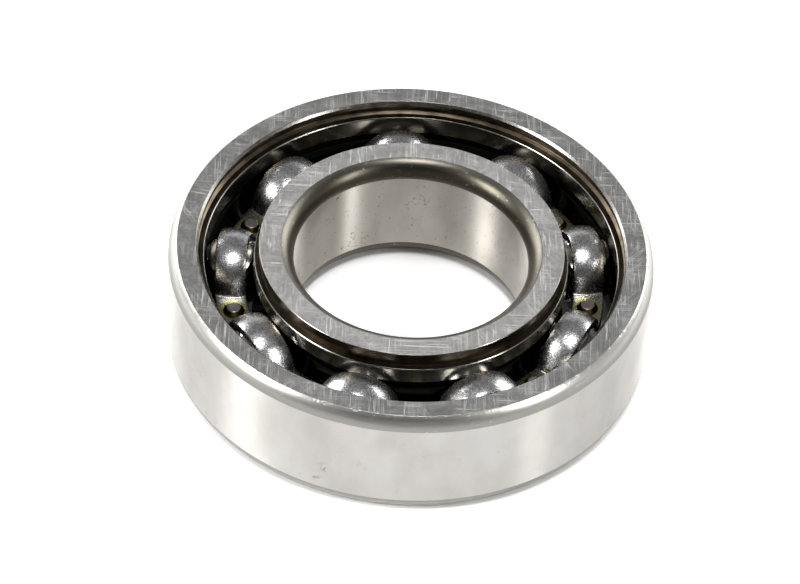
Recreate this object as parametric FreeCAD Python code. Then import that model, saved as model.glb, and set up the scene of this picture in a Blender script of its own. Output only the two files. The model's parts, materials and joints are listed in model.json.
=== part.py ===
import FreeCAD, Part
import math
import os

# An open deep-groove ball bearing. All lengths are in millimetres and all angles in degrees.
# The origin is the bearing's centre, on its axis at half its width. +Z is the axis.
# Every section below is given as (r, z): distance from the axis, and height above mid-width.

# ------------------------------------------------------------------ driving dimensions
bore_diameter = 30.0
outer_diameter = 62.0
width = 16.0
ball_diameter = 9.525
ball_count = 9
first_ball_angle = 16.0  # from +X towards +Y

raceway_clearance = 0.01  # between a ball and the bottom of each raceway
raceway_conformity = 0.52  # raceway groove radius over ball diameter

# outer ring
outer_corner_height = 1.9  # along the axis
outer_corner_depth = 1.05  # across it
outer_corner_bulge = 0.22  # how far the corner's arc stands out from its chord
outer_shoulder_diameter = 52.8
outer_recess_diameter = 54.4
outer_recess_chamfer = 0.3
outer_lip_height = 0.75  # from the face down to the shield groove
shield_groove_depth = 0.42
shield_groove_flank = 0.3  # height of each sloping side of the groove

# inner ring
inner_corner_height = 2.3
inner_corner_depth = 1.7
inner_corner_bulge = 0.45
inner_shoulder_diameter = 40.2
inner_recess_diameter = 39.0
inner_recess_chamfer = 0.08
inner_lip_height = 1.1  # from the face down to the undercut
inner_undercut_depth = 0.2

# both rings
ledge_depth = 2.0  # from the face down to the ledge beside the shoulder
shoulder_edge_break = 0.12

# cage: two pressed ribbons, riveted back to back
sheet_thickness = 0.7
ribbon_inner_diameter = 42.0
ribbon_outer_diameter = 50.0
pocket_clearance = 0.10  # between a ball and its pocket
fold_radius = 0.5  # inside the bend from the pocket to the flat web

# rivets
rivet_shank_diameter = 1.8
rivet_head_diameter = 2.8
rivet_flat_diameter = 1.7
rivet_head_height = 0.65

# ------------------------------------------------------------------ worked out from them
face_height = width / 2
ledge_height = face_height - ledge_depth
ball_radius = ball_diameter / 2
pitch_radius = (bore_diameter + outer_diameter) / 4
pitch_angle = 360 / ball_count
raceway_radius = raceway_conformity * ball_diameter
pocket_radius = ball_radius + pocket_clearance

ORIGIN = FreeCAD.Vector(0, 0, 0)
AXIS = FreeCAD.Vector(0, 0, 1)


# ------------------------------------------------------------------ section outlines
def edge(run):
    """A straight edge through two (r, z) points, or an arc through three."""
    points = [FreeCAD.Vector(r, 0, z) for r, z in run]
    if len(points) == 2:
        return Part.LineSegment(*points).toShape()
    return Part.Arc(*points).toShape()


def bulged(start, end, bulge):
    """The run of an arc that stands out from its chord, to the right of the way it runs."""
    along_r = end[0] - start[0]
    along_z = end[1] - start[1]
    chord = math.hypot(along_r, along_z)
    middle_r = (start[0] + end[0]) / 2 + bulge * along_z / chord
    middle_z = (start[1] + end[1]) / 2 - bulge * along_r / chord
    return [start, (middle_r, middle_z), end]


def straight_runs(points):
    return [[start, end] for start, end in zip(points, points[1:])]


def turned(runs):
    """The solid that a closed outline sweeps about the axis."""
    outline = Part.Wire(Part.sortEdges([edge(run) for run in runs])[0])
    return Part.Face(outline).revolve(ORIGIN, AXIS, 360)


def turned_both_sides(upper_runs, crossing_runs):
    """A turned solid whose lower side is the mirror image of its upper side."""
    lower_runs = [[(r, -z) for r, z in run] for run in upper_runs]
    return turned(upper_runs + lower_runs + crossing_runs)


def raceway_run(bottom_radius, groove_centre_radius, shoulder_radius):
    """The raceway's arc from the lower shoulder to the upper one, and where it ends."""
    half_height = math.sqrt(raceway_radius**2 - (shoulder_radius - groove_centre_radius) ** 2)
    run = [(shoulder_radius, -half_height), (bottom_radius, 0), (shoulder_radius, half_height)]
    return run, half_height


# ------------------------------------------------------------------ outer ring
def outer_ring():
    outside = outer_diameter / 2
    recess = outer_recess_diameter / 2
    shoulder = outer_shoulder_diameter / 2
    corner_start = (outside, face_height - outer_corner_height)
    corner_end = (outside - outer_corner_depth, face_height)
    lip = face_height - outer_lip_height
    groove = recess + shield_groove_depth
    raceway_bottom = pitch_radius + ball_radius + raceway_clearance
    raceway, raceway_half_height = raceway_run(
        raceway_bottom, raceway_bottom - raceway_radius, shoulder
    )
    inner_side = [
        corner_end,
        (recess + outer_recess_chamfer, face_height),
        (recess, face_height - outer_recess_chamfer),
        (recess, lip),
        (groove, lip - shield_groove_flank),
        (groove, ledge_height + shield_groove_flank),
        (recess, ledge_height),
        (shoulder + shoulder_edge_break, ledge_height),
        (shoulder, ledge_height - shoulder_edge_break),
        (shoulder, raceway_half_height),
    ]
    upper_runs = [bulged(corner_start, corner_end, outer_corner_bulge)] + straight_runs(inner_side)
    outside_run = [(outside, -corner_start[1]), corner_start]
    return turned_both_sides(upper_runs, [outside_run, raceway])


# ------------------------------------------------------------------ inner ring
def inner_ring():
    bore = bore_diameter / 2
    recess = inner_recess_diameter / 2
    shoulder = inner_shoulder_diameter / 2
    undercut = recess - inner_undercut_depth
    undercut_top = face_height - inner_lip_height
    corner_start = (bore + inner_corner_depth, face_height)
    corner_end = (bore, face_height - inner_corner_height)
    raceway_bottom = pitch_radius - ball_radius - raceway_clearance
    raceway, raceway_half_height = raceway_run(
        raceway_bottom, raceway_bottom + raceway_radius, shoulder
    )
    outer_side = [
        corner_start,
        (recess - inner_recess_chamfer, face_height),
        (recess, face_height - inner_recess_chamfer),
        (recess, undercut_top),
        (undercut, undercut_top),
        (undercut, ledge_height),
        (shoulder - shoulder_edge_break, ledge_height),
        (shoulder, ledge_height - shoulder_edge_break),
        (shoulder, raceway_half_height),
    ]
    upper_runs = [bulged(corner_end, corner_start, -inner_corner_bulge)] + straight_runs(outer_side)
    bore_run = [corner_end, (bore, -corner_end[1])]
    return turned_both_sides(upper_runs, [bore_run, raceway])


# ------------------------------------------------------------------ places round the pitch circle
def round_the_pitch_circle(shape, angle):
    """The shape, made on the axis, moved out to the pitch circle at an angle."""
    placed = shape.copy()
    placed.translate(FreeCAD.Vector(pitch_radius, 0, 0))
    placed.rotate(ORIGIN, AXIS, angle)
    return placed


ball_angles = [first_ball_angle + pitch_angle * index for index in range(ball_count)]
web_angles = [angle + pitch_angle / 2 for angle in ball_angles]


# ------------------------------------------------------------------ cage
def tube(inner_radius, outer_radius, height):
    return Part.makeCylinder(outer_radius, height).cut(Part.makeCylinder(inner_radius, height))


# The sheet bends from each pocket into the flat web about this point, in the section
# through a ball's own upright axis.
bend_height = sheet_thickness + fold_radius
bend_distance = pocket_radius + sheet_thickness + fold_radius
bend_reach = math.sqrt(bend_distance**2 - bend_height**2)
bend_angle = math.atan2(bend_reach, bend_height)


def on_dome(radius, angle):
    return (radius * math.sin(angle), radius * math.cos(angle))


def on_bend(radius, angle):
    return (bend_reach - radius * math.sin(angle), bend_height - radius * math.cos(angle))


def pocket():
    """Half a pocket on the axis: a dome of sheet over the ball, with the bend round its foot."""
    half = bend_angle / 2
    inside = pocket_radius
    outside = pocket_radius + sheet_thickness
    upper_bend = fold_radius
    lower_bend = fold_radius + sheet_thickness
    return turned([
        [on_dome(inside, 0), on_dome(outside, 0)],
        [on_dome(outside, 0), on_dome(outside, half), on_dome(outside, bend_angle)],
        [on_bend(upper_bend, bend_angle), on_bend(upper_bend, half), on_bend(upper_bend, 0)],
        [on_bend(upper_bend, 0), on_bend(lower_bend, 0)],
        [on_bend(lower_bend, 0), on_bend(lower_bend, half), on_bend(lower_bend, bend_angle)],
        [on_dome(inside, bend_angle), on_dome(inside, half), on_dome(inside, 0)],
    ])


def cage_upper():
    inner_radius = ribbon_inner_diameter / 2
    outer_radius = ribbon_outer_diameter / 2
    ribbon_space = tube(inner_radius, outer_radius, pocket_radius + sheet_thickness)
    pockets = [round_the_pitch_circle(pocket(), angle).common(ribbon_space) for angle in ball_angles]
    pocket_gap = Part.makeCylinder(bend_reach, sheet_thickness)
    rivet_hole = Part.makeCylinder(rivet_shank_diameter / 2, sheet_thickness)
    gaps = [round_the_pitch_circle(pocket_gap, angle) for angle in ball_angles]
    holes = [round_the_pitch_circle(rivet_hole, angle) for angle in web_angles]
    webs = tube(inner_radius, outer_radius, sheet_thickness).cut(gaps + holes)
    return webs.fuse(pockets).removeSplitter().Solids[0]


# ------------------------------------------------------------------ rivets and balls
def rivet():
    """A shank through both halves of the cage, with a tapered head at each end."""
    shank = rivet_shank_diameter / 2
    head = rivet_head_diameter / 2
    flat = rivet_flat_diameter / 2
    top = sheet_thickness + rivet_head_height
    upper_points = [(0, top), (flat, top), (head, sheet_thickness), (shank, sheet_thickness)]
    lower_points = [(r, -z) for r, z in reversed(upper_points)]
    return turned(straight_runs(upper_points + lower_points + upper_points[:1]))


def ball():
    return Part.makeSphere(ball_radius)


# ------------------------------------------------------------------ the assembly, one file per piece
upper_half = cage_upper()
nodes = {
    "outer_ring": outer_ring(),
    "inner_ring": inner_ring(),
    "cage_upper": upper_half,
    "cage_lower": upper_half.mirror(ORIGIN, AXIS),
}
for number, angle in enumerate(ball_angles, start=1):
    nodes[f"ball_{number}"] = round_the_pitch_circle(ball(), angle)
for number, angle in enumerate(web_angles, start=1):
    nodes[f"rivet_{number}"] = round_the_pitch_circle(rivet(), angle)

os.makedirs("parts", exist_ok=True)
for name, shape in nodes.items():
    shape.exportStep(os.path.join("parts", f"{name}.step"))
    print(name, shape.ShapeType, "valid" if shape.isValid() else "NOT VALID", round(shape.Volume, 3), "mm3")
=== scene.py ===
import json
import math
import random

import bmesh
import bpy
from mathutils import Matrix, Vector


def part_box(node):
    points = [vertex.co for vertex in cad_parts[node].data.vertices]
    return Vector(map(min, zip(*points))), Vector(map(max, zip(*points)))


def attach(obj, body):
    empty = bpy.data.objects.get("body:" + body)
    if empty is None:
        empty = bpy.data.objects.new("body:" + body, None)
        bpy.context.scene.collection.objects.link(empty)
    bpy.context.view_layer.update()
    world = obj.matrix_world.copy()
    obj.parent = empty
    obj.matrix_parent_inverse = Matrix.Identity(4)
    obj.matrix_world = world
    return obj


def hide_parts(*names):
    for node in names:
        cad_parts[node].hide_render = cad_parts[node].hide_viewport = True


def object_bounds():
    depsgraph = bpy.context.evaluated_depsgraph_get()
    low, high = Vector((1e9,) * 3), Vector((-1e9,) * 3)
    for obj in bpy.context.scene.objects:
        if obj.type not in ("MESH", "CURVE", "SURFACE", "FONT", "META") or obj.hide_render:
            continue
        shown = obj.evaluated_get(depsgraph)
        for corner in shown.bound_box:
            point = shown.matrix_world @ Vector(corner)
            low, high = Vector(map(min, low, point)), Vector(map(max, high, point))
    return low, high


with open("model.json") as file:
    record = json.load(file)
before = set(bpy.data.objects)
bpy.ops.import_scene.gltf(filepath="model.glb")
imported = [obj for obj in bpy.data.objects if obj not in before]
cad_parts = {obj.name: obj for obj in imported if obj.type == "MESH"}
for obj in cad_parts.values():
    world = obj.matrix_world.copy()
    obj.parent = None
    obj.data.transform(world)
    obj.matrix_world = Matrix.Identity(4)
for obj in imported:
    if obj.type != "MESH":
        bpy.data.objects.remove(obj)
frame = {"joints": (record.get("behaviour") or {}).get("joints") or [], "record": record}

CAD_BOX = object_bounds()

# An open deep-groove ball bearing. Sizes are in millimetres, and meshes are made in metres.
# Sections are (r, z): distance from the axis and height above mid-width.
MM = 0.001
ON_AXIS = 1e-6  # a radius below this is taken as zero
random.seed(7)

# ------------------------------------------------------------------ sizes read from the frame
mounts = {mount["name"]: mount for mount in frame["record"]["mounts"]}
BORE = mounts["shaft_bore"]["dims"]["r_mm"]
OUTSIDE = mounts["housing_seat"]["dims"]["r_mm"]
BORE_WALL = mounts["shaft_bore"]["dims"]["length_mm"] / 2  # height where the corner begins
OUTSIDE_WALL = mounts["housing_seat"]["dims"]["length_mm"] / 2
FACE = CAD_BOX[1].z / MM  # height of the rings' faces
ball_joints = [joint for joint in frame["joints"] if joint["child"].startswith("ball_")]
ball_centres = {joint["child"]: Vector(joint["pos_m"]) for joint in ball_joints}
BALL_COUNT = len(ball_centres)
PITCH = ball_centres["ball_1"].length / MM  # radius of the circle through the ball centres
FIRST_BALL = math.atan2(ball_centres["ball_1"].y, ball_centres["ball_1"].x)
STEP = 2 * math.pi / BALL_COUNT
ball_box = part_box("ball_1")
BALL = (ball_box[1].z - ball_box[0].z) / 2 / MM  # radius of a ball
inner_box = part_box("inner_ring")
INNER_SHOULDER = inner_box[1].x / MM
cage_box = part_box("cage_upper")
DOME_TOP = cage_box[1].z / MM
RIBBON_OUTSIDE = (cage_box[1].x - cage_box[0].x) / 2 / MM
rivet_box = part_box("rivet_1")
RIVET_HEAD = (rivet_box[1].x - rivet_box[0].x) / 2 / MM
RIVET_TOP = rivet_box[1].z / MM

# ------------------------------------------------------------------ sizes that the frame doesn't state
OUTER_CORNER = 1.05  # how far the corner reaches in from the outside
OUTER_CORNER_BULGE = 0.22  # how far it stands out from its chord
OUTER_SHOULDER = 26.4  # radius, as are the recesses
OUTER_RECESS = 27.2
RECESS_CHAMFER = 0.3
OUTER_LIP = 0.75  # from the face down to the shield groove
SHIELD_GROOVE = 0.42
GROOVE_FLANK = 0.3
OUTER_EDGE_BREAK = 0.035
INNER_CORNER = 1.7  # how far the corner reaches out from the bore
INNER_CORNER_BULGE = 0.45
INNER_RECESS = 19.5
INNER_CHAMFER = 0.08
INNER_LIP = 1.1  # from the face down to the undercut
UNDERCUT = 0.2
INNER_EDGE_BREAK = 0.025
LEDGE = 2.0  # from a face down to the ledge beside the shoulder
SHOULDER_BREAK = 0.12
RACEWAY = 0.52 * 2 * BALL  # radius of a raceway's section
RACEWAY_GAP = 0.01
SHEET = 0.7  # thickness of a cage half
FOLD = 0.5  # radius inside the bend at the foot of a dome
RIBBON_INSIDE = 2 * PITCH - RIBBON_OUTSIDE
RIBBON_EDGE = 0.14  # radius of the ribbon's tumbled edges
RIVET_SHANK = 0.9  # radius
RIVET_FLAT = 0.85  # radius of the flat on a rivet's head
RIVET_EDGE_BREAK = 0.06
FLOOR_GAP = 0.02  # keeps the floor and the lower faces out of one plane

# ------------------------------------------------------------------ steps of the meshes
RING_STEPS = 640
RIVET_STEPS = 72
BALL_STEPS = 128
EDGE_STEPS = 4
OUTER_CORNER_STEPS = 14
INNER_CORNER_STEPS = 16
RACEWAY_STEPS = 40
DOME_COLUMNS = 26
BEND_COLUMNS = 8
WEB_COLUMNS = 6
RIBBON_ROWS = 12


# ------------------------------------------------------------------ outlines
def arc_about(centre, radius, start, end, steps):
    """Points on an arc about a centre, between two angles."""
    angles = [start + (end - start) * i / steps for i in range(steps + 1)]
    return [(centre[0] + radius * math.cos(a), centre[1] + radius * math.sin(a)) for a in angles]


def bulged_arc(start, end, bulge, steps):
    """Points on an arc that stands out from its chord, to the right of its way, or to the left of it
    where bulge is below 0."""
    along = Vector((end[0] - start[0], end[1] - start[1]))
    chord = along.length
    radius = chord**2 / (8 * bulge) + bulge / 2
    outwards = Vector((along.y, -along.x)).normalized()
    middle = (Vector(start) + Vector(end)) / 2
    centre = middle - outwards * (radius - bulge)
    first = Vector(start) - centre
    last = Vector(end) - centre
    begin = math.atan2(first.y, first.x)
    turn = (math.atan2(last.y, last.x) - begin + math.pi) % (2 * math.pi) - math.pi
    return arc_about(centre, abs(radius), begin, begin + turn, steps)


def walk(points, distance):
    """The point that lies a distance along a run of points, and the points after it."""
    left = distance
    for index in range(len(points) - 1):
        here = Vector(points[index])
        step = Vector(points[index + 1]) - here
        if step.length > left:
            return [tuple(here + step * (left / step.length))] + points[index + 1:]
        left -= step.length
    raise ValueError("the run is shorter than its broken edge")


def soften(runs, edge_break):
    """Rounds the corners between runs of (finish, points) into one closed outline.

    Each point of the result is (r, z, finish of the strip that starts there)."""
    cut = []
    for finish, points in runs:
        shortened = walk(points, edge_break)
        shortened = walk(shortened[::-1], edge_break)[::-1]
        inside = walk(shortened, edge_break)
        inside = walk(inside[::-1], edge_break)[::-1]
        cut.append((finish, [shortened[0]] + inside + [shortened[-1]]))
    outline = []
    for index, (finish, points) in enumerate(cut):
        next_finish, next_points = cut[(index + 1) % len(cut)]
        outline += [(r, z, finish) for r, z in points]
        a = Vector(points[-1])
        b = Vector(runs[index][1][-1])
        c = Vector(next_points[0])
        for i in range(1, EDGE_STEPS):
            t = i / EDGE_STEPS
            p = a * (1 - t) ** 2 + b * 2 * t * (1 - t) + c * t**2
            outline.append((p.x, p.y, finish if t < 0.5 else next_finish))
    return outline


def both_sides(upper, crossing_outside, crossing_inside):
    """A whole ring section from its upper side, which runs from the first crossing to the second."""
    lower = [(finish, [(r, -z) for r, z in reversed(points)]) for finish, points in reversed(upper)]
    return [crossing_outside] + upper + [crossing_inside] + lower


def outer_ring_outline():
    """The outer ring's section as runs of (finish, points)."""
    face_edge = (OUTSIDE - OUTER_CORNER, FACE)
    lip = FACE - OUTER_LIP
    ledge = FACE - LEDGE
    groove = OUTER_RECESS + SHIELD_GROOVE
    centre = PITCH + BALL + RACEWAY_GAP - RACEWAY
    half_angle = math.acos((OUTER_SHOULDER - centre) / RACEWAY)
    raceway = arc_about((centre, 0), RACEWAY, half_angle, -half_angle, RACEWAY_STEPS)
    corner = bulged_arc((OUTSIDE, OUTSIDE_WALL), face_edge, OUTER_CORNER_BULGE, OUTER_CORNER_STEPS)
    upper = [
        ("outer_corner", corner),
        ("outer_face", [face_edge, (OUTER_RECESS + RECESS_CHAMFER, FACE)]),
        ("chamfer", [(OUTER_RECESS + RECESS_CHAMFER, FACE), (OUTER_RECESS, FACE - RECESS_CHAMFER)]),
        ("recess", [(OUTER_RECESS, FACE - RECESS_CHAMFER), (OUTER_RECESS, lip)]),
        ("recess", [(OUTER_RECESS, lip), (groove, lip - GROOVE_FLANK)]),
        ("recess", [(groove, lip - GROOVE_FLANK), (groove, ledge + GROOVE_FLANK)]),
        ("recess", [(groove, ledge + GROOVE_FLANK), (OUTER_RECESS, ledge)]),
        ("ledge", [(OUTER_RECESS, ledge), (OUTER_SHOULDER + SHOULDER_BREAK, ledge)]),
        ("chamfer", [(OUTER_SHOULDER + SHOULDER_BREAK, ledge), (OUTER_SHOULDER, ledge - SHOULDER_BREAK)]),
        ("shoulder", [(OUTER_SHOULDER, ledge - SHOULDER_BREAK), raceway[0]]),
    ]
    outside = ("outside", [(OUTSIDE, -OUTSIDE_WALL), (OUTSIDE, OUTSIDE_WALL)])
    return both_sides(upper, outside, ("raceway", raceway))


def inner_ring_outline():
    """The inner ring's section as runs of (finish, points)."""
    face_edge = (BORE + INNER_CORNER, FACE)
    undercut_top = FACE - INNER_LIP
    undercut = INNER_RECESS - UNDERCUT
    ledge = FACE - LEDGE
    centre = PITCH - BALL - RACEWAY_GAP + RACEWAY
    half_angle = math.acos((centre - INNER_SHOULDER) / RACEWAY)
    raceway = arc_about((centre, 0), RACEWAY, math.pi - half_angle, math.pi + half_angle, RACEWAY_STEPS)
    corner = bulged_arc((BORE, BORE_WALL), face_edge, -INNER_CORNER_BULGE, INNER_CORNER_STEPS)
    upper = [
        ("bore_corner", corner),
        ("inner_face", [face_edge, (INNER_RECESS - INNER_CHAMFER, FACE)]),
        ("chamfer", [(INNER_RECESS - INNER_CHAMFER, FACE), (INNER_RECESS, FACE - INNER_CHAMFER)]),
        ("recess", [(INNER_RECESS, FACE - INNER_CHAMFER), (INNER_RECESS, undercut_top)]),
        ("recess", [(INNER_RECESS, undercut_top), (undercut, undercut_top)]),
        ("recess", [(undercut, undercut_top), (undercut, ledge)]),
        ("ledge", [(undercut, ledge), (INNER_SHOULDER - SHOULDER_BREAK, ledge)]),
        ("chamfer", [(INNER_SHOULDER - SHOULDER_BREAK, ledge), (INNER_SHOULDER, ledge - SHOULDER_BREAK)]),
        ("inner_shoulder", [(INNER_SHOULDER, ledge - SHOULDER_BREAK), raceway[0]]),
    ]
    bore = ("bore", [(BORE, -BORE_WALL), (BORE, BORE_WALL)])
    return both_sides(upper, bore, ("raceway", raceway))


def rivet_outline():
    """A rivet's section as runs of (finish, points), from the top of its axis to the bottom."""
    upper = [(0, RIVET_TOP), (RIVET_FLAT, RIVET_TOP), (RIVET_HEAD, SHEET), (RIVET_SHANK, SHEET)]
    corners = upper + [(r, -z) for r, z in reversed(upper)]
    return [("rivet", [a, b]) for a, b in zip(corners, corners[1:])]


# ------------------------------------------------------------------ meshes
def new_piece(name, mesh, finishes, body, node):
    """A finished object that stands for a CAD node and moves with its body."""
    piece = bpy.data.objects.new(name, mesh)
    bpy.context.scene.collection.objects.link(piece)
    for finish in finishes:
        mesh.materials.append(finish)
    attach(piece, body)
    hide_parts(node)


def turned_mesh(name, outline, finish_names, steps, closed=True):
    """Turns an outline of (r, z, finish) about Z. A point on the axis is made once."""
    bm = bmesh.new()
    turns = [2 * math.pi * i / steps for i in range(steps)]
    circles = []
    for r, z, _ in outline:
        if r < ON_AXIS:
            circles.append([bm.verts.new((0, 0, z * MM))] * steps)
        else:
            places = [(r * MM * math.cos(a), r * MM * math.sin(a), z * MM) for a in turns]
            circles.append([bm.verts.new(place) for place in places])
    last = len(circles) if closed else len(circles) - 1
    for index in range(last):
        here = circles[index]
        there = circles[(index + 1) % len(circles)]
        number = finish_names.index(outline[index][2])
        for i in range(steps):
            j = (i + 1) % steps
            corners = list(dict.fromkeys([here[i], here[j], there[j], there[i]]))
            if len(corners) > 2:
                face = bm.faces.new(corners)
                face.material_index = number
                face.smooth = True
    bmesh.ops.recalc_face_normals(bm, faces=bm.faces)
    mesh = bpy.data.meshes.new(name)
    bm.to_mesh(mesh)
    bm.free()
    return mesh


def rivet_mesh(name):
    """A rivet on the bearing's axis. The two breaks on its own axis are left out."""
    axis = ("rivet", [(0, -RIVET_TOP), (0, RIVET_TOP)])
    closed = soften(rivet_outline() + [axis], RIVET_EDGE_BREAK)
    skin = [point for point in closed if point[0] > 1.1 * RIVET_EDGE_BREAK]
    outline = [(0, RIVET_TOP, "rivet")] + skin + [(0, -RIVET_TOP, "rivet")]
    return turned_mesh(name, outline, ["rivet"], RIVET_STEPS, closed=False)


def ball_mesh(name):
    """A ball on the bearing's axis."""
    points = arc_about((0, 0), BALL, math.pi / 2, -math.pi / 2, BALL_STEPS // 2)
    outline = [(0 if abs(r) < ON_AXIS else r, z, "ball") for r, z in points]
    return turned_mesh(name, outline, ["ball"], BALL_STEPS, closed=False)


def placed(mesh, x, y, turn):
    """The mesh, turned about its own axis and moved to its place in metres."""
    mesh.transform(Matrix.Translation((x, y, 0)) @ Matrix.Rotation(turn, 4, "Z"))
    return mesh


# ------------------------------------------------------------------ cage
# The sheet lies between two surfaces. Over a ball they are parts of two spheres, then they bend
# about one point into the flat web.
BEND_HEIGHT = SHEET + FOLD
BEND_REACH = math.sqrt((DOME_TOP + FOLD) ** 2 - BEND_HEIGHT**2)
BEND_ANGLE = math.atan2(BEND_REACH, BEND_HEIGHT)


def sheet_point(reach, top):
    """Height and outward normal (along the reach, up) of the sheet at a distance from the ball's axis."""
    sphere = DOME_TOP if top else DOME_TOP - SHEET
    bend = FOLD if top else FOLD + SHEET
    side = 1 if top else -1
    if reach < sphere * math.sin(BEND_ANGLE):
        height = math.sqrt(sphere**2 - reach**2)
        return height, (side * reach / sphere, side * height / sphere)
    if reach < BEND_REACH:
        across = BEND_REACH - reach
        drop = math.sqrt(bend**2 - across**2)
        return BEND_HEIGHT - drop, (side * across / bend, side * drop / bend)
    return (SHEET if top else 0.0), (0, side)


def column_angle(level, r, top):
    """Angle from the pocket's middle to a column: 0 to 1 over the dome, 1 to 2 the bend, 2 to 3 the web."""
    sphere = DOME_TOP if top else DOME_TOP - SHEET
    stops = [0.0]
    for reach in (sphere * math.sin(BEND_ANGLE), BEND_REACH):
        stops.append(math.acos((r**2 + PITCH**2 - reach**2) / (2 * r * PITCH)))
    stops.append(STEP / 2)
    index = min(int(level), 2)
    return stops[index] + (stops[index + 1] - stops[index]) * (level - index)


def ribbon_point(pocket_angle, level, r, top, inset):
    """A point of the sheet's skin, sunk below it by inset, in the frame of the bearing."""
    offset = math.copysign(column_angle(abs(level), r, top), level)
    along = Vector((r * math.cos(offset) - PITCH, r * math.sin(offset)))
    reach = along.length
    height, (out, up) = sheet_point(reach, top)
    x = along.x + PITCH - (along.x / reach if reach else 0) * out * inset
    y = along.y - (along.y / reach if reach else 0) * out * inset
    z = height - up * inset
    c, s = math.cos(pocket_angle), math.sin(pocket_angle)
    return (x * c - y * s, x * s + y * c, z)


def ribbon_section():
    """The loop round the ribbon's section: (radius, on the top?, inset) with tumbled edges."""
    inner = []
    for i in range(EDGE_STEPS + 1):
        a = math.pi / 2 * i / EDGE_STEPS
        inner.append((RIBBON_INSIDE + RIBBON_EDGE * (1 - math.sin(a)), RIBBON_EDGE * (1 - math.cos(a))))
    outer = [(RIBBON_INSIDE + RIBBON_OUTSIDE - r, inset) for r, inset in inner]
    first = RIBBON_INSIDE + RIBBON_EDGE
    last = RIBBON_OUTSIDE - RIBBON_EDGE
    middle = [(first + (last - first) * i / RIBBON_ROWS, 0.0) for i in range(1, RIBBON_ROWS)]
    across = sorted(set(inner + middle + outer))
    return [(r, True, inset) for r, inset in across] + [(r, False, inset) for r, inset in reversed(across)]


def cage_mesh(name, lower):
    """A cage half: the ribbon's section carried round over all the pockets."""
    flip = -1 if lower else 1
    levels = [i / DOME_COLUMNS for i in range(DOME_COLUMNS)]
    levels += [1 + i / BEND_COLUMNS for i in range(BEND_COLUMNS)]
    levels += [2 + i / WEB_COLUMNS for i in range(WEB_COLUMNS)]
    levels = [-level for level in reversed(levels[1:])] + levels + [3.0]
    section = ribbon_section()
    bm = bmesh.new()
    columns = []
    for pocket in range(BALL_COUNT):
        angle = FIRST_BALL + STEP * pocket
        for level in levels:
            points = [ribbon_point(angle, level, r, top, inset) for r, top, inset in section]
            columns.append([bm.verts.new((x * MM, y * MM, flip * z * MM)) for x, y, z in points])
    for index, here in enumerate(columns):
        there = columns[(index + 1) % len(columns)]
        for i in range(len(section)):
            j = (i + 1) % len(section)
            face = bm.faces.new([here[i], here[j], there[j], there[i]])
            face.smooth = True
    bmesh.ops.recalc_face_normals(bm, faces=bm.faces)
    mesh = bpy.data.meshes.new(name)
    bm.to_mesh(mesh)
    bm.free()
    return mesh


# ------------------------------------------------------------------ materials
BARE_STEEL = (0.9, 0.9, 0.88)  # what a fresh scratch or nick lays open


class Nodes:
    """A node tree, with short calls for the nodes used here."""

    def __init__(self, tree):
        self.tree = tree

    def put(self, socket, value):
        """Links or sets a socket. A colour may be given without its alpha."""
        if isinstance(value, bpy.types.NodeSocket):
            self.tree.links.new(value, socket)
        elif isinstance(value, (tuple, list)) and len(value) == 3 and socket.type == "RGBA":
            socket.default_value = (*value, 1)
        else:
            socket.default_value = value

    def math(self, operation, a, b=0.0, c=0.0):
        node = self.tree.nodes.new("ShaderNodeMath")
        node.operation = operation
        for socket, value in zip(node.inputs, (a, b, c)):
            self.put(socket, value)
        return node.outputs[0]

    def times(self, a, b):
        return self.math("MULTIPLY", a, b)

    def plus(self, a, b):
        return self.math("ADD", a, b)

    def vector(self, operation, a, b=(0, 0, 0), scale=1.0):
        node = self.tree.nodes.new("ShaderNodeVectorMath")
        node.operation = operation
        self.put(node.inputs[0], a)
        self.put(node.inputs[1], b)
        node.inputs[3].default_value = scale
        return node.outputs[0]

    def split(self, vector):
        node = self.tree.nodes.new("ShaderNodeSeparateXYZ")
        self.put(node.inputs[0], vector)
        return node.outputs

    def join(self, x, y, z):
        node = self.tree.nodes.new("ShaderNodeCombineXYZ")
        for socket, value in zip(node.inputs, (x, y, z)):
            self.put(socket, value)
        return node.outputs[0]

    def noise(self, where, scale, detail=2.0, roughness=0.5):
        node = self.tree.nodes.new("ShaderNodeTexNoise")
        self.put(node.inputs["Vector"], where)
        node.inputs["Scale"].default_value = scale
        node.inputs["Detail"].default_value = detail
        node.inputs["Roughness"].default_value = roughness
        return node.outputs["Fac"]

    def off_middle(self, value):
        """How far a noise is from its middle: small along winding lines."""
        return self.math("ABSOLUTE", self.math("SUBTRACT", value, 0.5))

    def step(self, value, low, high):
        """0 below low, 1 above high, smooth between; falling if low is above high."""
        node = self.tree.nodes.new("ShaderNodeMapRange")
        node.interpolation_type = "SMOOTHSTEP"
        self.put(node.inputs["Value"], value)
        if low < high:
            node.inputs["From Min"].default_value = low
            node.inputs["From Max"].default_value = high
        else:
            node.inputs["From Min"].default_value = high
            node.inputs["From Max"].default_value = low
            node.inputs["To Min"].default_value = 1.0
            node.inputs["To Max"].default_value = 0.0
        return node.outputs["Result"]

    def spread(self, value, low, high):
        """0 to 1 stretched to low to high."""
        return self.math("MULTIPLY_ADD", value, high - low, low)

    def mix(self, amount, a, b):
        node = self.tree.nodes.new("ShaderNodeMix")
        node.data_type = "RGBA"
        self.put(node.inputs[0], amount)
        self.put(node.inputs[6], a)
        self.put(node.inputs[7], b)
        return node.outputs[2]


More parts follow.
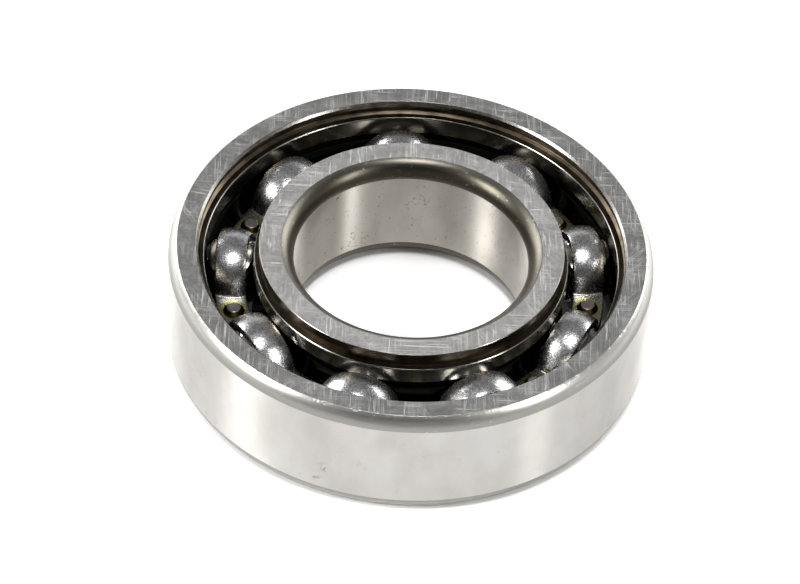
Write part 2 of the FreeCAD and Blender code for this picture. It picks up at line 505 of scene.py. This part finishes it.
class Finish(Nodes):
    """The node tree of a metal. Its place, radius and height are in millimetres."""

    def __init__(self, name, metallic=1.0, **constants):
        self.material = bpy.data.materials.new(name)
        self.material.use_nodes = True
        super().__init__(self.material.node_tree)
        self.shader = self.tree.nodes["Principled BSDF"]
        self.shader.inputs["Metallic"].default_value = metallic
        for socket, value in constants.items():
            self.shader.inputs[socket.replace("_", " ")].default_value = value
        coordinates = self.tree.nodes.new("ShaderNodeTexCoord")
        self.place = self.vector("SCALE", coordinates.outputs["Object"], scale=1 / MM)
        self.x, self.y, self.z = self.split(self.place)
        self.r = self.math("SQRT", self.plus(self.times(self.x, self.x), self.times(self.y, self.y)))

    def bump(self, height, distance, onto=None):
        """Relief of a height from 0 to 1, whose full height is distance millimetres."""
        node = self.tree.nodes.new("ShaderNodeBump")
        node.inputs["Strength"].default_value = 1.0
        node.inputs["Distance"].default_value = distance * MM
        self.put(node.inputs["Height"], height)
        if onto is not None:
            self.put(node.inputs["Normal"], onto)
        self.put(self.shader.inputs["Normal"], node.outputs[0])
        return node.outputs[0]

    def along(self, angle, along_scale, across_scale):
        """Coordinates squeezed so that a noise makes streaks at an angle to X."""
        c, s = math.cos(angle), math.sin(angle)
        run = self.plus(self.times(self.x, c), self.times(self.y, s))
        across = self.plus(self.times(self.x, -s), self.times(self.y, c))
        return self.join(self.times(run, along_scale), self.times(across, across_scale), self.z)

    def scratches(self, where, seed, width, cover):
        """Thin lines where a stretched noise crosses its middle, kept only in scattered patches."""
        shifted = self.vector("ADD", where, (seed * 7.3, seed * 3.1, seed * 5.7))
        lines = self.off_middle(self.noise(shifted, 1.0, 1.0, 0.5))
        thin = self.step(lines, width, width * 0.3)
        patch = self.noise(self.vector("ADD", self.place, (seed * 11.0, seed * 2.0, 0)), 0.22, 2.0)
        return self.times(thin, self.step(patch, cover, cover + 0.12))

    def colour(self, value):
        self.put(self.shader.inputs["Base Color"], value)

    def rough(self, value):
        self.put(self.shader.inputs["Roughness"], value)


def ring_face(name, dark, light, roughness, worn):
    """Ground flat face with fine turning lines, clouded and crossed by light scratches."""
    f = Finish(name)
    turning = f.noise(f.join(f.times(f.r, 9.0), f.times(f.x, 0.08), f.times(f.y, 0.08)), 1.0, 3.0, 0.6)
    cloud = f.noise(f.place, 0.35, 4.0, 0.6)
    mottle = f.step(f.noise(f.place, 1.7, 4.0, 0.7), 0.35, 0.65)
    marks = 0.0
    streaks = (  # angle, scale along, scale across, width of a line, cover
        (math.radians(90), 0.05, 2.4, 0.020, 0.42),
        (math.radians(94), 0.04, 2.8, 0.024, 0.46),
        (math.radians(2), 0.04, 2.6, 0.022, 0.44),
        (math.radians(-9), 0.06, 2.2, 0.018, 0.50),
        (math.radians(48), 0.08, 2.4, 0.014, 0.52),
        (math.radians(-58), 0.08, 2.4, 0.014, 0.52),
    )
    for seed, (angle, run, across, width, cover) in enumerate(streaks, start=1):
        found = f.scratches(f.along(angle, run, across), seed, width, cover)
        marks = f.math("MAXIMUM", found, marks)
    tone = f.mix(f.plus(f.times(cloud, 0.5), f.times(mottle, 0.5)), dark, light)
    f.colour(f.mix(f.times(marks, worn), tone, BARE_STEEL))
    f.rough(f.plus(f.spread(cloud, roughness - 0.05, roughness + 0.07), f.times(marks, 0.18)))
    f.bump(f.plus(f.times(turning, 0.5), f.times(marks, -0.6)), 0.004)
    return f.material


def ground_wall(name, dark, light, blush, smear, dirt):
    """Ground cylinder: fine lines round the axis that smear reflections, faint stains and dark specks."""
    f = Finish(name, Anisotropic=1.0, Anisotropic_Rotation=0.25)
    tangent = f.tree.nodes.new("ShaderNodeTangent")
    tangent.direction_type = "RADIAL"
    tangent.axis = "Z"
    f.put(f.shader.inputs["Tangent"], tangent.outputs[0])
    lines = f.noise(f.join(f.times(f.x, 0.25), f.times(f.y, 0.25), f.times(f.z, 14.0)), 1.0, 3.0, 0.6)
    stain = f.noise(f.join(f.times(f.x, 0.18), f.times(f.y, 0.18), f.times(f.z, 0.10)), 1.0, 3.0, 0.55)
    pink = f.step(f.noise(f.place, 0.14, 2.0), 0.52, 0.66)
    specks = f.step(f.noise(f.place, 3.1, 2.0, 0.45), 0.69, 0.73)
    winding = f.off_middle(f.noise(f.place, 0.8, 1.0, 0.5))
    fibres = f.times(f.step(winding, 0.014, 0.006), f.step(f.noise(f.place, 0.33, 1.0, 0.5), 0.60, 0.62))
    specks = f.math("MAXIMUM", specks, fibres)
    tone = f.mix(f.step(stain, 0.3, 0.7), dark, light)
    tone = f.mix(f.times(pink, 0.35), tone, blush)
    f.colour(f.mix(f.times(specks, dirt), tone, (0.16, 0.13, 0.11)))
    f.rough(f.plus(f.spread(lines, smear - 0.04, smear + 0.04), f.times(specks, 0.2)))
    f.bump(lines, 0.0012)
    return f.material


def turned_corner(name, dark, light, clean, dull, shade, dented):
    """Turned fillet, darkened by painted shade towards the cylinder, from the radius where the shade begins
    to the radius where it is full.
    """
    f = Finish(name)
    turning = f.noise(f.join(f.times(f.r, 7.0), f.times(f.z, 7.0), f.times(f.x, 0.1)), 1.0, 3.0, 0.6)
    nicks = f.step(f.noise(f.place, 2.2, 3.0, 0.6), 0.66, 0.72)
    edge = f.step(f.math("ABSOLUTE", f.z), FACE - 0.5, FACE - 0.15)
    dents = f.times(f.step(f.noise(f.place, 0.9, 4.0, 0.65), 0.50, 0.62), f.times(edge, dented))
    # painted shade: the fillet's colour falls to the shade colour towards the cylinder
    tone = f.mix(f.step(f.r, clean, dull), f.mix(turning, dark, light), shade)
    tone = f.mix(f.times(dents, 0.25), tone, (0.8, 0.8, 0.78))
    f.colour(f.mix(f.times(nicks, 0.35), tone, BARE_STEEL))
    f.rough(f.spread(turning, 0.26, 0.38))
    first = f.bump(f.plus(turning, f.times(nicks, -0.8)), 0.006)
    f.bump(dents, 0.015, onto=first)
    return f.material


def worn_chamfer():
    """Narrow broken edge of a ring, worn to a shine in places."""
    f = Finish("worn_chamfer")
    worn = f.noise(f.place, 1.6, 4.0, 0.65)
    f.colour(f.mix(worn, (0.14, 0.13, 0.115), (0.34, 0.33, 0.31)))
    f.rough(f.spread(worn, 0.14, 0.34))
    f.bump(worn, 0.004)
    return f.material


def oiled_recess():
    """Turned and left unground: brown with old oil and darkened nearly to black as painted shade in the
    gap, with fine bright lines from the tool.
    """
    f = Finish("oiled_recess")
    lines = f.noise(f.join(f.times(f.r, 6.0), f.times(f.z, 6.0), f.times(f.x, 0.05)), 1.0, 4.0, 0.7)
    cloud = f.noise(f.place, 0.30, 4.0, 0.6)
    # brown of old oil, darkened nearly to black as painted shade in the gap between the rings
    oil_and_painted_shade = f.mix(f.step(cloud, 0.3, 0.7), (0.045, 0.036, 0.024), (0.13, 0.105, 0.075))
    f.colour(f.mix(f.step(lines, 0.60, 0.72), oil_and_painted_shade, (0.26, 0.225, 0.165)))
    f.rough(f.spread(lines, 0.22, 0.42))
    f.bump(lines, 0.012)
    return f.material


def shoulder_land_in_painted_shade(name, dark, light):
    """Ground land between a ledge and a raceway, its colour darkened as painted shade in the gap between
    the rings.
    """
    f = Finish(name)
    lines = f.noise(f.join(f.times(f.x, 0.2), f.times(f.y, 0.2), f.times(f.z, 9.0)), 1.0, 3.0, 0.6)
    cloud = f.noise(f.place, 0.5, 4.0, 0.6)
    # painted shade: dark and light are kept low for the gap
    f.colour(f.mix(cloud, dark, light))
    f.rough(f.spread(lines, 0.16, 0.32))
    f.bump(lines, 0.003)
    return f.material


def lapped_raceway():
    """Mirror-smooth raceway, coloured near black as painted shade deep in the gap between the rings."""
    f = Finish("lapped_raceway")
    lines = f.noise(f.join(f.times(f.x, 0.2), f.times(f.y, 0.2), f.times(f.z, 12.0)), 1.0, 2.0, 0.5)
    # painted shade: the raceway's colour is kept near black
    f.colour(f.mix(lines, (0.05, 0.048, 0.042), (0.10, 0.096, 0.088)))
    f.rough(f.spread(lines, 0.05, 0.12))
    return f.material


def tumbled_cage():
    """Bright pressed sheet, peened by tumbling, with oil that has gathered round the rivets and painted
    shade on the low webs between the domes.
    """
    f = Finish("tumbled_cage")
    grain = f.noise(f.place, 3.4, 3.0, 0.65)
    dents = f.noise(f.place, 1.1, 2.0, 0.5)
    pits = f.step(f.noise(f.place, 7.0, 2.0, 0.5), 0.60, 0.74)
    turn = f.math("SUBTRACT", f.math("ARCTAN2", f.y, f.x), FIRST_BALL + STEP / 2)
    from_rivet = f.math("WRAP", turn, STEP / 2, -STEP / 2)
    outwards = f.math("SUBTRACT", f.times(f.r, f.math("COSINE", from_rivet)), PITCH)
    sideways = f.times(f.r, f.math("SINE", from_rivet))
    away = f.math("SQRT", f.plus(f.times(outwards, outwards), f.times(sideways, sideways)))
    uneven = f.plus(away, f.spread(f.noise(f.place, 0.9, 3.0, 0.6), -0.5, 0.5))
    low = f.step(f.z, SHEET + 1.2, SHEET + 0.4)
    oil = f.times(f.step(uneven, RIVET_HEAD + 0.75, RIVET_HEAD + 0.1), low)
    tone = f.mix(f.step(grain, 0.35, 0.65), (0.50, 0.50, 0.51), (0.82, 0.82, 0.82))
    tone = f.mix(f.times(pits, 0.35), tone, (0.25, 0.25, 0.26))
    # painted shade: the low flat web between the domes is darkened to a greenish grey
    web = f.step(f.z, SHEET + 0.35, SHEET + 0.15)
    tone = f.mix(f.times(web, 0.7), tone, (0.30, 0.30, 0.25))
    f.colour(f.mix(f.times(oil, 0.75), tone, (0.42, 0.39, 0.07)))
    f.rough(f.plus(f.spread(grain, 0.24, 0.30), f.times(pits, 0.12)))
    first = f.bump(dents, 0.012)
    f.bump(grain, 0.022, onto=first)
    return f.material


def oiled_rivet():
    """Rivet with a bare flat top and dark oil on the slope of its head."""
    f = Finish("oiled_rivet")
    cloud = f.noise(f.place, 2.5, 4.0, 0.6)
    top = f.step(f.math("ABSOLUTE", f.z), RIVET_TOP - 0.10, RIVET_TOP - 0.03)
    side = f.mix(cloud, (0.05, 0.035, 0.012), (0.16, 0.12, 0.03))
    f.colour(f.mix(top, side, f.mix(cloud, (0.34, 0.31, 0.29), (0.55, 0.52, 0.50))))
    f.rough(f.spread(cloud, 0.25, 0.45))
    f.bump(cloud, 0.03)
    return f.material


def polished_ball():
    """Mirror-bright ball under a thin uneven film of oil."""
    f = Finish("polished_ball")
    film = f.noise(f.place, 0.8, 3.0, 0.6)
    f.colour(f.mix(film, (0.72, 0.72, 0.73), (0.84, 0.84, 0.84)))
    f.rough(f.spread(film, 0.02, 0.08))
    return f.material


def white_floor():
    """Matt white with a slight glow, which goes out under the rings as painted shadow and grows inside the
    bore as painted light.
    """
    f = Finish("white_floor", metallic=0.0, Roughness=0.8, Emission_Color=(1, 1, 1, 1))
    # painted shadow under the rings and painted light inside the bore, through the floor's glow
    shadow_under_rings = f.times(f.step(f.r, BORE - 0.2, BORE + 0.5), f.step(f.r, OUTSIDE, OUTSIDE - 0.6))
    inside = f.step(f.r, BORE, BORE - 1.5)
    glow = f.plus(f.spread(shadow_under_rings, 0.36, 0.02), f.times(inside, 0.16))
    f.put(f.shader.inputs["Emission Strength"], glow)
    f.colour(f.mix(f.noise(f.place, 0.004, 2.0), (0.90, 0.90, 0.90), (0.92, 0.92, 0.915)))
    return f.material


RING_FINISHES = {
    "outer_face": ring_face(
        "outer_face", (0.27, 0.27, 0.262), (0.42, 0.417, 0.404), roughness=0.46, worn=0.38
    ),
    "inner_face": ring_face(
        "inner_face", (0.37, 0.367, 0.356), (0.58, 0.575, 0.56), roughness=0.52, worn=0.42
    ),
    "outer_corner": turned_corner(
        "outer_corner",
        (0.49, 0.48, 0.45),
        (0.63, 0.615, 0.58),
        clean=OUTSIDE - 0.6,
        dull=OUTSIDE - 0.05,
        # painted shade on the fillet next to the outside cylinder
        shade=(0.25, 0.244, 0.226),
        dented=1.0,
    ),
    "bore_corner": turned_corner(
        "bore_corner",
        (0.20, 0.19, 0.165),
        (0.33, 0.315, 0.28),
        clean=BORE + 1.9,
        dull=BORE + 0.8,
        # painted shade on the fillet next to the bore
        shade=(0.085, 0.077, 0.06),
        dented=0.0,
    ),
    "outside": ground_wall(
        "ground_outside",
        (0.48, 0.465, 0.44),
        (0.56, 0.547, 0.527),
        blush=(0.57, 0.52, 0.495),
        smear=0.31,
        dirt=0.07,
    ),
    "bore": ground_wall(
        "ground_bore",
        (0.42, 0.395, 0.355),
        (0.53, 0.505, 0.465),
        blush=(0.51, 0.44, 0.405),
        smear=0.40,
        dirt=0.8,
    ),
    "chamfer": worn_chamfer(),
    "recess": oiled_recess(),
    # the outer shoulder is darker still: deeper painted shade in the gap
    "shoulder": shoulder_land_in_painted_shade("outer_shoulder", (0.08, 0.073, 0.058), (0.18, 0.166, 0.136)),
    "inner_shoulder": shoulder_land_in_painted_shade("inner_shoulder", (0.24, 0.226, 0.19), (0.40, 0.38, 0.33)),
    "raceway": lapped_raceway(),
}
RING_FINISHES["ledge"] = RING_FINISHES["recess"]
finish_names = list(RING_FINISHES)
ring_materials = list(RING_FINISHES.values())

# ------------------------------------------------------------------ the rings
ring_outlines = {
    "outer_ring": soften(outer_ring_outline(), OUTER_EDGE_BREAK),
    "inner_ring": soften(inner_ring_outline(), INNER_EDGE_BREAK),
}
for node, outline in ring_outlines.items():
    mesh = turned_mesh(f"{node}_steel", outline, finish_names, RING_STEPS)
    new_piece(f"{node}_steel", mesh, ring_materials, node, node)

# ------------------------------------------------------------------ the cage, its rivets and the balls
cage_finish = tumbled_cage()
for node, lower in (("cage_upper", False), ("cage_lower", True)):
    mesh = cage_mesh(f"{node}_ribbon", lower)
    new_piece(f"{node}_ribbon", mesh, [cage_finish], "cage", node)

rivet_finish = oiled_rivet()
ball_finish = polished_ball()
for number in range(1, BALL_COUNT + 1):
    centre = ball_centres[f"ball_{number}"]
    mesh = placed(ball_mesh(f"ball_{number}_steel"), centre.x, centre.y, random.uniform(0, math.pi))
    new_piece(f"ball_{number}_steel", mesh, [ball_finish], f"ball_{number}", f"ball_{number}")
    angle = FIRST_BALL + STEP * (number - 0.5)
    x, y = PITCH * MM * math.cos(angle), PITCH * MM * math.sin(angle)
    mesh = placed(rivet_mesh(f"rivet_{number}_steel"), x, y, random.uniform(0, math.pi))
    new_piece(f"rivet_{number}_steel", mesh, [rivet_finish], "cage", f"rivet_{number}")


# ------------------------------------------------------------------ floor, light and camera
def make_floor():
    """A plain square floor, just below the lower faces."""
    half = 1.5
    z = CAD_BOX[0].z - FLOOR_GAP * MM
    corners = [(-half, -half, z), (half, -half, z), (half, half, z), (-half, half, z)]
    mesh = bpy.data.meshes.new("floor")
    mesh.from_pydata(corners, [], [(0, 1, 2, 3)])
    floor = bpy.data.objects.new("floor", mesh)
    mesh.materials.append(white_floor())
    bpy.context.scene.collection.objects.link(floor)


def make_room():
    """A tent open at the top: light walls, greyer in front, dark above. The camera itself sees white."""
    world = bpy.data.worlds.new("tent")
    world.use_nodes = True
    bpy.context.scene.world = world
    room = Nodes(world.node_tree)
    background = room.tree.nodes["Background"]
    _, y, z = room.split(room.tree.nodes.new("ShaderNodeTexCoord").outputs["Generated"])
    back = room.step(y, -0.30, 0.20)
    wall = room.mix(back, (0.40, 0.39, 0.375), (0.65, 0.65, 0.65))
    ceiling = room.mix(back, (0.07, 0.068, 0.065), (0.16, 0.16, 0.16))
    edge = room.spread(back, 0.26, 0.43)
    above = room.step(room.math("SUBTRACT", z, edge), -0.06, 0.16)
    seen = room.tree.nodes.new("ShaderNodeLightPath").outputs["Is Camera Ray"]
    room.put(background.inputs["Color"], room.mix(seen, room.mix(above, wall, ceiling), (1.15, 1.15, 1.15)))


def area_light(name, azimuth, elevation, distance, wide, tall, radiance, shape="RECTANGLE"):
    """A soft light that faces the bearing. Azimuth is from +X towards +Y."""
    area = wide * tall * (math.pi / 4 if shape == "ELLIPSE" else 1)
    light = bpy.data.lights.new(name, "AREA")
    light.shape = shape
    light.size = wide
    light.size_y = tall
    light.energy = radiance * math.pi * area
    lamp = bpy.data.objects.new(name, light)
    a, e = math.radians(azimuth), math.radians(elevation)
    towards = Vector((math.cos(a) * math.cos(e), math.sin(a) * math.cos(e), math.sin(e)))
    lamp.location = towards * distance
    lamp.visible_camera = False
    lamp.rotation_euler = towards.to_track_quat("Z", "Y").to_euler()
    bpy.context.scene.collection.objects.link(lamp)


def make_camera():
    """A long lens in front of the bearing, looking down at it with a slight roll."""
    elevation = math.radians(44.5)
    roll = math.radians(-3.8)
    distance = 0.5984
    field = 0.1028  # width of what the view takes in at the bearing's centre
    aim_right, aim_up = -0.00115, -0.0001  # from the bearing's centre to what the camera points at
    back = Vector((0, -math.cos(elevation), math.sin(elevation)))
    level = Vector((1, 0, 0))
    steep = Vector((0, math.sin(elevation), math.cos(elevation)))
    right = level * math.cos(roll) - steep * math.sin(roll)
    up = level * math.sin(roll) + steep * math.cos(roll)
    data = bpy.data.cameras.new("camera")
    data.sensor_width = 36
    data.lens = data.sensor_width * distance / field
    data.clip_start = 0.01
    camera = bpy.data.objects.new("camera", data)
    location = back * distance
    forward = (right * aim_right + up * aim_up - location).normalized()
    right = (right - forward * right.dot(forward)).normalized()
    up = right.cross(forward)
    camera.matrix_world = Matrix.Translation(location) @ Matrix((right, up, -forward)).transposed().to_4x4()
    bpy.context.scene.collection.objects.link(camera)
    bpy.context.scene.camera = camera


make_floor()
make_room()
area_light("overhead", -90, 78, 0.5, 0.13, 0.13, 20, shape="ELLIPSE")
area_light("left_box", 200, 32, 0.9, 0.25, 0.40, 20)
area_light("right_strip", 330, 32, 0.9, 0.07, 0.40, 32)
area_light("back_right", 42, 24, 0.9, 0.42, 0.45, 5.5)
area_light("back_left", 140, 24, 0.9, 0.42, 0.45, 6.5)
make_camera()
bpy.context.scene.view_settings.view_transform = "Standard"
